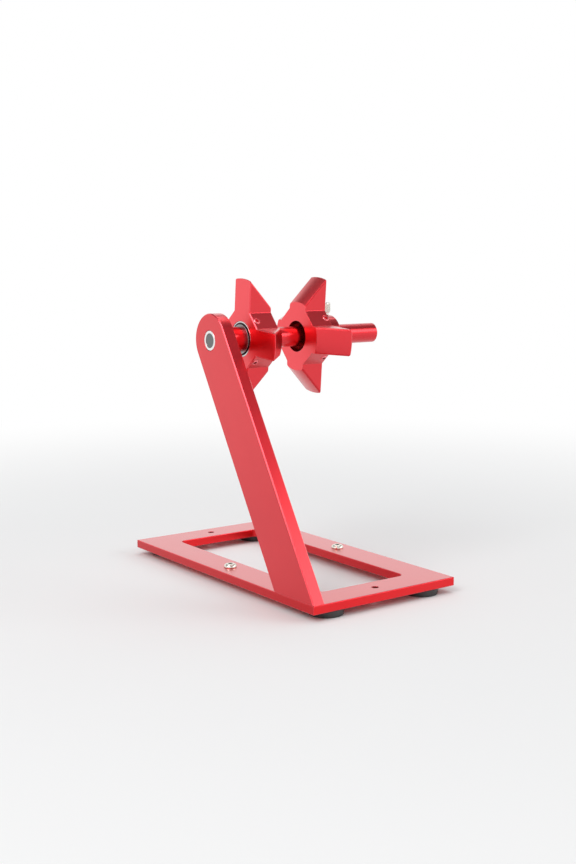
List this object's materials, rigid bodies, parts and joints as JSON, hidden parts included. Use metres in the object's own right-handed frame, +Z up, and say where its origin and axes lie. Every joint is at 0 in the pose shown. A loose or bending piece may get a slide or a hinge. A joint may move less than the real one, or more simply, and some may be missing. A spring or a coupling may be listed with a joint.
{
  "type": "spool holder stand",
  "caption": "Flat windowed base with a leaning arm and a cantilever axle whose cross-shaped cone hubs on ball bearings centre, clamp and spin a filament spool.",
  "frame": {"origin": "centre of the base plate's underside, midway between its two free end holes", "axes": "+X along the axle, away from the arm; +Y along the plate's long side, the way the arm leans; +Z up"},
  "size_m": [0.12, 0.19, 0.1778],
  "materials": {
    "plate_red": "satin red anodised, bead blasted, bright chamfers",
    "arm_red": "satin red anodised, bead blasted, bright chamfers",
    "axle_red": "red anodised, turned, end faced bright",
    "hub_red": "satin red anodised, milled and turned",
    "collar_red": "satin red anodised, turned",
    "core_steel": "turned grey steel",
    "nickel": "nickel plated",
    "black_steel": "black oxide",
    "spring_steel": "phosphated spring steel",
    "bearing_steel": "ground and polished",
    "seal_black": "moulded nitrile rubber",
    "cage_nylon": "moulded nylon",
    "rubber": "moulded black rubber"
  },
  "bodies": {
    "stand": {"base_plate": "plate_red", "support_arm": "arm_red", "arm_screws": "black_steel", "frame_screws": "nickel", "foot_front_left": "rubber", "foot_front_right": "rubber", "foot_back_left": "rubber", "foot_back_right": "rubber", "axle": "axle_red", "axle_core": "core_steel", "front_shim": "bearing_steel", "front_circlip": "spring_steel", "front_bearing_inner_race": "bearing_steel"},
    "front_hub": {"front_hub": "hub_red", "front_hub_screws": "hub_red", "front_bearing_outer_race": "bearing_steel", "front_bearing_outer_seal": "seal_black", "front_bearing_inner_seal": "seal_black"},
    "front_ball_ring": {"front_bearing_balls": "bearing_steel", "front_bearing_cage": "cage_nylon"},
    "rear_carriage": {"lock_collar": "collar_red", "rear_bearing_inner_race": "bearing_steel"},
    "collar_screw": {"collar_screw": "nickel"},
    "rear_hub": {"rear_hub": "hub_red", "rear_hub_screws": "hub_red", "rear_bearing_outer_race": "bearing_steel", "rear_bearing_outer_seal": "seal_black", "rear_bearing_inner_seal": "seal_black"},
    "rear_ball_ring": {"rear_bearing_balls": "bearing_steel", "rear_bearing_cage": "cage_nylon"}
  },
  "joints": [
    {"name": "front_hub_spin", "type": "hinge", "parent": "stand", "child": "front_hub", "pos_m": [-0.02615, 0.0036, 0.1387], "axis": [1, 0, 0], "continuous": true},
    {"name": "front_ball_ring_orbit", "type": "hinge", "parent": "stand", "child": "front_ball_ring", "pos_m": [-0.02615, 0.0036, 0.1387], "axis": [1, 0, 0], "continuous": true},
    {"name": "rear_hub_slide", "type": "slide", "parent": "stand", "child": "rear_carriage", "axis": [1, 0, 0], "range_m": [-0.02, 0.033]},
    {"name": "collar_screw_turn", "type": "hinge", "parent": "rear_carriage", "child": "collar_screw", "pos_m": [0.03215, 0.0036, 0.1387], "axis": [0, 0, 1], "range_deg": [0, 360]},
    {"name": "rear_hub_spin", "type": "hinge", "parent": "rear_carriage", "child": "rear_hub", "pos_m": [0.02365, 0.0036, 0.1387], "axis": [1, 0, 0], "continuous": true},
    {"name": "rear_ball_ring_orbit", "type": "hinge", "parent": "rear_carriage", "child": "rear_ball_ring", "pos_m": [0.02365, 0.0036, 0.1387], "axis": [1, 0, 0], "continuous": true}
  ],
  "couplings": [
    {"joint": "front_ball_ring_orbit", "follows": "front_hub_spin", "ratio": 0.5719},
    {"joint": "rear_ball_ring_orbit", "follows": "rear_hub_spin", "ratio": 0.5719}
  ]
}
